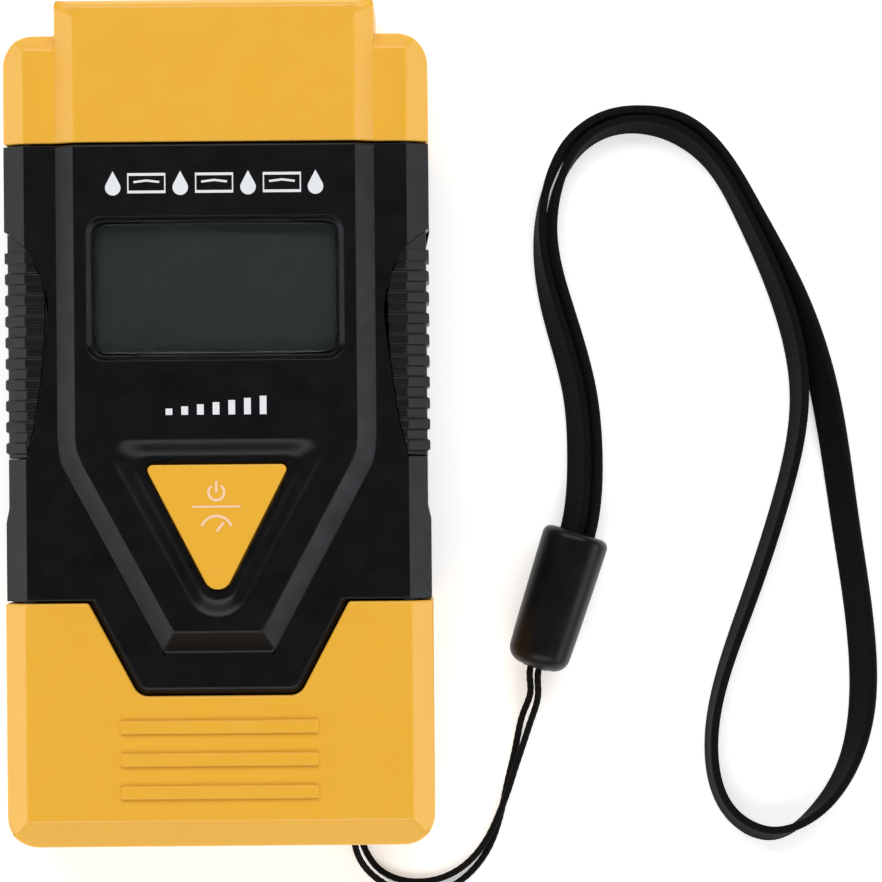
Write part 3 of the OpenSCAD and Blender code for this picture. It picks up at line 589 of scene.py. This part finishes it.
# Rounds of the kept nodes' edges, in mm
FAINT_ROUND = 0.05
SMALL_ROUND = {"electrode_block": 0.3, "window_lens": 0.14, "lcd_frame": 0.15, "tact_switch": 0.08,
               "left_socket": 0.12, "right_socket": 0.12, "case_screws": 0.12, "board_screws": 0.08,
               "cell_1": 0.25, "cell_2": 0.25, "cell_3": 0.25, "mcu_chip": 0.04}

for node_name, slot_name in KEPT.items():
    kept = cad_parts[node_name]
    kept.data.polygons.foreach_set("use_smooth", [True] * len(kept.data.polygons))
    dress(kept, M[slot_name])
    round_edges(kept, SMALL_ROUND.get(node_name, FAINT_ROUND))


# ---------------------------------------------------------------- shells, covers and grips

PANEL_Z = 28
RIM_STEP = 0.7

# The front's two soft hollows, in mm: the box each lies in, its floor, and the share of the way to the
# hole that its foot runs
HOLLOWS = [
    {"box": (-16, 16, -29, -2), "floor": 26.6, "reach": 0.45, "rows": 12},
    {"box": (-19.5, 19.5, 7, 30.5), "floor": 27.1, "reach": 0.3, "rows": 8},
]


def closed_loop(edges):
    """The vertices of one closed run of edges, in order."""
    beside = {}
    for edge in edges:
        for vert in edge.verts:
            beside.setdefault(vert, []).append(edge.other_vert(vert))
    loop = [edges[0].verts[0]]
    step = beside[loop[0]][0]
    while step is not loop[0]:
        loop.append(step)
        one, other = beside[step]
        step = other if one is loop[-2] else one
    return loop


def nearest_on(outline, point):
    """The point of a closed plan outline nearest to a plan point."""
    after = np.roll(outline, -1, axis=0)
    along = after - outline
    share = np.sum((point - outline) * along, axis=1) / np.sum(along * along, axis=1)
    found = outline + np.clip(share, 0, 1)[:, None] * along
    return found[np.argmin(np.linalg.norm(found - point, axis=1))]


def level(vert, z):
    """Whether a vertex lies at a height given in mm."""
    return abs(vert.co.z - z * MM) < 0.01 * MM


def soft_hollow(bm, box, floor, reach, rows):
    """Changes a hollow's straight slopes to rings that leave the panel and reach the floor smoothly."""
    left, right, low, high = (side * MM for side in box)
    inside = [f for f in bm.faces if all(left < v.co.x < right and low < v.co.y < high for v in f.verts)]
    slopes = [f for f in inside if all(level(v, floor) or level(v, PANEL_Z) for v in f.verts)
              and any(level(v, floor) for v in f.verts)]
    gone = set(slopes)
    border = [e for f in slopes for e in f.edges if any(other not in gone for other in e.link_faces)]
    rim = [e for e in border if all(level(v, PANEL_Z) for v in e.verts)]
    hole = [e for e in border if all(level(v, floor) for v in e.verts)]
    # A set of mesh elements has no fixed order, so dict.fromkeys keeps every run the same
    reaching = [f for f in slopes if any(level(v, PANEL_Z) for v in f.verts)]
    feet = list(dict.fromkeys(v for f in reaching for v in f.verts if level(v, floor)))
    middle = np.mean([v.co.xy for v in feet], axis=0)
    feet = sorted(feet, key=lambda v: math.atan2(v.co.y - middle[1], v.co.x - middle[0]))
    foot = np.array([v.co.xy for v in feet])
    hole_line = np.array([v.co.xy for v in closed_loop(hole)])
    bmesh.ops.delete(bm, geom=slopes, context="FACES")
    for edge in list(rim):
        cuts = int(edge.calc_length() / (RIM_STEP * MM))
        if cuts:
            parts = bmesh.ops.subdivide_edges(bm, edges=[edge], cuts=cuts)["geom_split"]
            rim.remove(edge)
            rim += [part for part in parts if isinstance(part, bmesh.types.BMEdge)]
    ring = closed_loop(rim)
    starts = np.array([v.co.xy for v in ring])
    ends = []
    for start in starts:
        down = nearest_on(foot, start)
        ends.append(down + reach * (nearest_on(hole_line, down) - down))
    ends = np.array(ends)
    for row in range(1, rows + 1):
        a = row / rows
        z = PANEL_Z - (PANEL_Z - floor) * a * a * (3 - 2 * a)
        inner = [bm.verts.new((x, y, z * MM)) for x, y in starts + a * (ends - starts)]
        for i in range(len(ring)):
            j = (i + 1) % len(ring)
            face = bm.faces.new((ring[i], ring[j], inner[j], inner[i]))
            face.normal_update()
            if face.normal.z < 0:
                face.normal_flip()
        ring = inner
    last = [bm.edges.get((ring[i], ring[(i + 1) % len(ring)])) for i in range(len(ring))]
    joined = bmesh.ops.bridge_loops(bm, edges=last + hole)["faces"]
    around = dict.fromkeys(e for f in joined for e in f.edges)
    ground = [e for e in around if all(f in joined for f in e.link_faces)]
    bmesh.ops.dissolve_limit(bm, angle_limit=math.radians(FLAT_ANGLE), verts=[], edges=ground)


def softened(node_name, piece_name, body, slot_name, width, angle=25, factor=None, segments=3, hollows=()):
    """A finished copy of a CAD node: flat faces merged and its sharp edges rounded by their share."""
    bm = bmesh.new()
    bm.from_mesh(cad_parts[node_name].data)
    bmesh.ops.remove_doubles(bm, verts=bm.verts, dist=WELD * MM)
    bmesh.ops.dissolve_limit(bm, angle_limit=math.radians(FLAT_ANGLE), verts=bm.verts, edges=bm.edges)
    for hollow in hollows:
        soft_hollow(bm, **hollow)
    layer = bm.edges.layers.float.new("bevel_weight_edge")
    limit = math.radians(angle)
    for edge in bm.edges:
        if len(edge.link_faces) == 2 and edge.calc_face_angle(0) > limit:
            middle = (edge.verts[0].co + edge.verts[1].co) / (2 * MM)
            share = factor(middle) if factor else 1.0
            edge[layer] = share
            edge.smooth = share > 0
    mesh = bpy.data.meshes.new(piece_name)
    bm.to_mesh(mesh)
    bm.free()
    mesh.polygons.foreach_set("use_smooth", [True] * len(mesh.polygons))
    obj = new_object(piece_name, mesh)
    bevel = obj.modifiers.new("round", "BEVEL")
    bevel.width = width * MM
    bevel.segments = segments
    bevel.limit_method = "WEIGHT"
    bevel.use_clamp_overlap = False
    weighted = obj.modifiers.new("normals", "WEIGHTED_NORMAL")
    weighted.weight = 60
    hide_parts(node_name)
    return dress(obj, M[slot_name], body)


# Where narrow features lie, in mm: the cap's end block, the field of thumb bars and the grips
CAP_BLOCK_Y = 57
CAP_LEAN_Z = 12
BARS = (-17, 17, -56, -40)
BARS_Z = 20
GRIP_X = 24
GRIP_TIP_Y = 22.5

# The share of a piece's round that its narrow features get
FINE_ROUND = 0.3


def front_round(middle):
    """Full rounds on the panel, fine ones in the hollows and round the grips."""
    for hollow in HOLLOWS:
        left, right, low, high = hollow["box"]
        if left < middle.x < right and low < middle.y < high:
            return FINE_ROUND
    return FINE_ROUND if abs(middle.x) > GRIP_X else 1.0


def grip_round(middle):
    """Full rounds on the ribs, fine ones in the slender tip."""
    return FINE_ROUND if middle.y > GRIP_TIP_Y else 1.0


def cap_round(middle):
    """Full rounds on the cap's shoulders, fine ones low on its end block, none on its leaning top edge."""
    if middle.y > CAP_BLOCK_Y:
        return 0.0 if middle.z > CAP_LEAN_Z else FINE_ROUND
    return 1.0


def door_round(middle):
    """Full rounds on the door, fine ones on its thumb bars."""
    left, right, low, high = BARS
    on_bars = left < middle.x < right and low < middle.y < high and middle.z > BARS_Z
    return FINE_ROUND if on_bars else 1.0


softened("front_shell", "front_case", "meter_body", "shell_black", 0.3, factor=front_round, hollows=HOLLOWS)
softened("rear_shell", "rear_case", "meter_body", "shell_black", 0.3)
softened("left_grip", "left_grip_pad", "meter_body", "grip_rubber", 0.22, factor=grip_round)
softened("right_grip", "right_grip_pad", "meter_body", "grip_rubber", 0.22, factor=grip_round)
softened("pin_cap", "pin_cap_cover", "cap_body", "cover_yellow", 0.35, factor=cap_round)
softened("battery_cover", "battery_door", "cover_body", "cover_yellow", 0.35, factor=door_round)
softened("power_button", "button_key", "button_body", "button_yellow", 0.2)


# ---------------------------------------------------------------- printed marks

# Heights of the printed faces, how far the ink stands off them and the width of a sign's line, in mm
KEY_Z = 27.3
LABEL_Z = 0.1
INK = 0.02
SIGN_LINE = 0.36


def stripe(points, width, closed=False):
    """A flat line of even width through points, as quads, in mm."""
    pts = np.array(points, float)
    ways = np.gradient(pts, axis=0)
    if closed:
        ways = np.roll(pts, -1, axis=0) - np.roll(pts, 1, axis=0)
    ways /= np.linalg.norm(ways, axis=1)[:, None]
    side = np.stack([-ways[:, 1], ways[:, 0]], axis=1) * width / 2
    count = len(pts)
    faces = [(i, (i + 1) % count, (i + 1) % count + count, i + count)
             for i in range(count if closed else count - 1)]
    return [tuple(v) for v in np.concatenate([pts - side, pts + side])], faces


def droplet(x, y, size):
    """A filled drop: a round belly and a point."""
    belly = arc((x, y - 0.18 * size), 0.32 * size, 150, 390, 20)
    outline = [(x, y + 0.5 * size)] + belly
    return outline, [tuple(range(len(outline)))]


def plank(x, y, size):
    """A board's end with two lines of grain."""
    w, h = size * 0.8, size * 0.38
    return [stripe([(x - w, y - h), (x + w, y - h), (x + w, y + h), (x - w, y + h)], 0.42, True),
            stripe([(x - 0.7 * w, y + 0.12 * h), (x, y + 0.3 * h), (x + 0.7 * w, y + 0.12 * h)], 0.3)]


def marks(name, shapes, z, material, body, way=1):
    """Flat printed marks joined in one thin mesh, facing up or, with way -1, down."""
    points, faces = [], []
    for outline, rows in shapes:
        start = len(points)
        points += [(x * MM, y * MM, (z + way * INK) * MM) for x, y in outline]
        faces += [tuple(start + k for k in row) for row in rows]
    obj = mesh_object(name, points, faces, smooth=False)
    bm = bmesh.new()
    bm.from_mesh(obj.data)
    for face in bm.faces:
        if face.calc_area() > 0 and face.normal.z * way < 0:
            face.normal_flip()
    bm.to_mesh(obj.data)
    bm.free()
    return dress(obj, M[material], body)


def make_title_marks():
    """Drops and boards in a row above the window."""
    title_y, size = 33.5, 3.4
    shapes = [droplet(x, title_y, size) for x in (-14.2, -4.75, 4.75, 14.2)]
    for x in (-9.5, 0, 9.5):
        shapes += plank(x, title_y, size * 0.95)
    marks("title_marks", shapes, PANEL_Z, "ink_white", "meter_body")


def make_scale_marks():
    """Seven rising bars below the window."""
    foot_y, least, rise, bar_w = 1.0, 0.9, 0.28, 0.95
    places = (-6.6, -4.4, -2.2, 0, 2.2, 4.4, 6.6)
    bars = [stripe([(x, foot_y), (x, foot_y + least + rise * k)], bar_w) for k, x in enumerate(places)]
    marks("scale_marks", bars, PANEL_Z, "ink_white", "meter_body")


def make_label_marks():
    """Plain lines, a square and a drop on the rear label, facing down."""
    lines = [stripe([(-13.5, 25 - 3.2 * k), (6 - 2.5 * (k % 2), 25 - 3.2 * k)], 0.5) for k in range(5)]
    square = stripe([(9, 12.5), (14, 12.5), (14, 17.5), (9, 17.5)], 0.4, True)
    marks("label_marks", lines + [square, droplet(11.5, 22.8, 4)], LABEL_Z, "ink_dark", "meter_body", way=-1)


def make_key_marks():
    """A standby sign, a rule and a dial on the button."""
    ring, hub = (-0.1, -9.9), (-0.1, -15.4)
    power = [stripe(arc(ring, 1.1, 125, 415, 24), SIGN_LINE), stripe([ring, (-0.1, -8.3)], SIGN_LINE)]
    rule = [stripe([(-3.5, -11.9), (3.3, -11.9)], 0.28)]
    dial = [stripe(arc(hub, 2.2, 20, 160, 18), SIGN_LINE), stripe([hub, (0.9, -14.1)], SIGN_LINE)]
    marks("key_marks", power + rule + dial, KEY_Z, "ink_pale", "button_body")


make_title_marks()
make_scale_marks()
make_label_marks()
make_key_marks()


# ---------------------------------------------------------------- stage

# Lamps: place and target in metres, size in metres, power in watts and colour
WHITE = (1, 1, 1)
COOL = (0.9, 0.92, 1)
BOX_SIZE = (2.0, 0.85)
STRIP_SIZE = (1.05, 0.35)
STRIP_POWER = 3.9
MIDDLE = (0.03, 0, 0)
STRIP_MIDDLE = (0.03, -0.38, 0.175)
LAMPS = [
    ("far_box", (0.03, 0.95, 0.95), MIDDLE, BOX_SIZE, 20.3, WHITE),
    ("near_box", (0.03, -1.0, 0.95), MIDDLE, BOX_SIZE, 14.8, WHITE),
    ("left_strip", (-0.9, -0.38, 0.175), STRIP_MIDDLE, STRIP_SIZE, STRIP_POWER, COOL),
    ("right_strip", (0.95, -0.38, 0.175), STRIP_MIDDLE, STRIP_SIZE, STRIP_POWER, COOL),
]
FLOOR_HALF = 3
FLOOR_GLOW = 0.38
WORLD_GLOW = 0.03


def area_light(name, place, target, size, power, colour):
    """A rectangular lamp that faces its target."""
    light = bpy.data.lights.new(name, "AREA")
    light.shape = "RECTANGLE"
    light.size, light.size_y = size
    light.energy = power
    light.color = colour
    holder = new_object(name, light)
    holder.location = place
    holder.rotation_euler = (Vector(target) - Vector(place)).to_track_quat("-Z", "Y").to_euler()


def make_stage():
    """White floor, a softbox at each end and a low strip at each side; none overhead, so black stays dark."""
    corners = [(x * FLOOR_HALF, y * FLOOR_HALF, 0) for x, y in ((-1, -1), (1, -1), (1, 1), (-1, 1))]
    floor = mesh_object("floor", corners, [(0, 1, 2, 3)], smooth=False)
    n = Nodes("floor_paper")
    n.colour(n.blend(n.noise(4, 3), (0.93, 0.93, 0.93), (0.95, 0.95, 0.95)))
    n.rough(n.span(n.noise(300, 3), 0.3, 0.7, 0.8, 0.9))
    n.set(Emission_Color=(1, 1, 1, 1), Emission_Strength=FLOOR_GLOW, Specular_IOR_Level=0.1)
    dress(floor, n.material)
    for lamp in LAMPS:
        area_light(*lamp)
    world = bpy.data.worlds.new("world")
    world.use_nodes = True
    background = world.node_tree.nodes["Background"]
    background.inputs["Color"].default_value = (1, 1, 1, 1)
    background.inputs["Strength"].default_value = WORLD_GLOW
    bpy.context.scene.world = world
    bpy.context.scene.view_settings.view_transform = "Standard"


make_stage()
